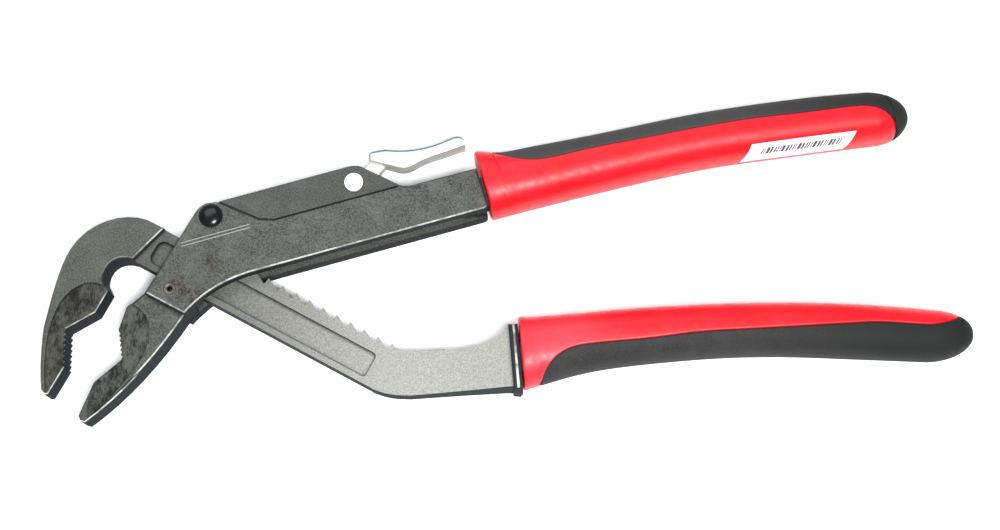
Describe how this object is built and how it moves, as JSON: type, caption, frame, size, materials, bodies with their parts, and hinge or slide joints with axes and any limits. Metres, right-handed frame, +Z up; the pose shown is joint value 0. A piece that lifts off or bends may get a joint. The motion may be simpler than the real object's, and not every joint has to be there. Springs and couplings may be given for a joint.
{
  "type": "tongue and groove pliers",
  "caption": "Slip-adjust tongue and groove pliers with curved hook jaw, toothed shank, thumb release lever and two-tone moulded grips, lying flat.",
  "frame": {"origin": "middle of the tool's bounding box in X and Y, on the surface that it lies on", "axes": "+X from the jaws towards the ends of the handles, +Y towards the back of the upper handle, +Z up through the cheeks"},
  "size_m": [0.2478, 0.0918, 0.017],
  "materials": {
    "forged_steel": "nickel-grey plated forging with a fine blasted grain",
    "bright_steel": "bright plated",
    "dark_steel": "blackened, glossy",
    "red_plastic": "satin moulded",
    "black_rubber": "matt moulded",
    "white_paper": "coated sticker"
  },
  "bodies": {
    "upper_handle": {"frame_forging": "forged_steel", "main_rivet": "dark_steel", "rivet_washer_front": "bright_steel", "rivet_washer_rear": "bright_steel", "guide_pin": "dark_steel", "guide_sleeve": "bright_steel", "lever_pin": "bright_steel", "spring_stop_pin": "bright_steel", "lever_spring": "bright_steel", "pawl_spring": "bright_steel", "upper_grip_core": "red_plastic", "upper_grip_soft": "black_rubber", "stock_label": "white_paper"},
    "tongues": {"tongue_front": "bright_steel", "tongue_rear": "bright_steel"},
    "hook_jaw": {"hook_jaw_forging": "forged_steel", "lower_grip_core": "red_plastic", "lower_grip_soft": "black_rubber"},
    "pawl": {"pawl": "dark_steel"},
    "release_lever": {"release_lever": "bright_steel"}
  },
  "joints": [
    {"name": "jaw_swing", "type": "hinge", "parent": "upper_handle", "child": "tongues", "pos_m": [-0.07983, 0.00927, 0.0085], "axis": [0, 0, 1], "range_deg": [-10, 9]},
    {"name": "channel_slide", "type": "slide", "parent": "tongues", "child": "hook_jaw", "axis": [-0.8805, 0.4741, 0], "range_m": [0, 0.0252]},
    {"name": "pawl_lift", "type": "hinge", "parent": "tongues", "child": "pawl", "pos_m": [-0.07983, 0.00927, 0.0085], "axis": [0, 0, 1], "range_deg": [-1, 12]},
    {"name": "lever_press", "type": "hinge", "parent": "upper_handle", "child": "release_lever", "pos_m": [-0.04179, 0.01883, 0.0085], "axis": [0, 0, 1], "range_deg": [-10.5, 0], "stiffness_Nm_per_rad": 0.012}
  ],
  "couplings": [
    {"joint": "pawl_lift", "follows": "lever_press", "ratio": -0.9}
  ]
}
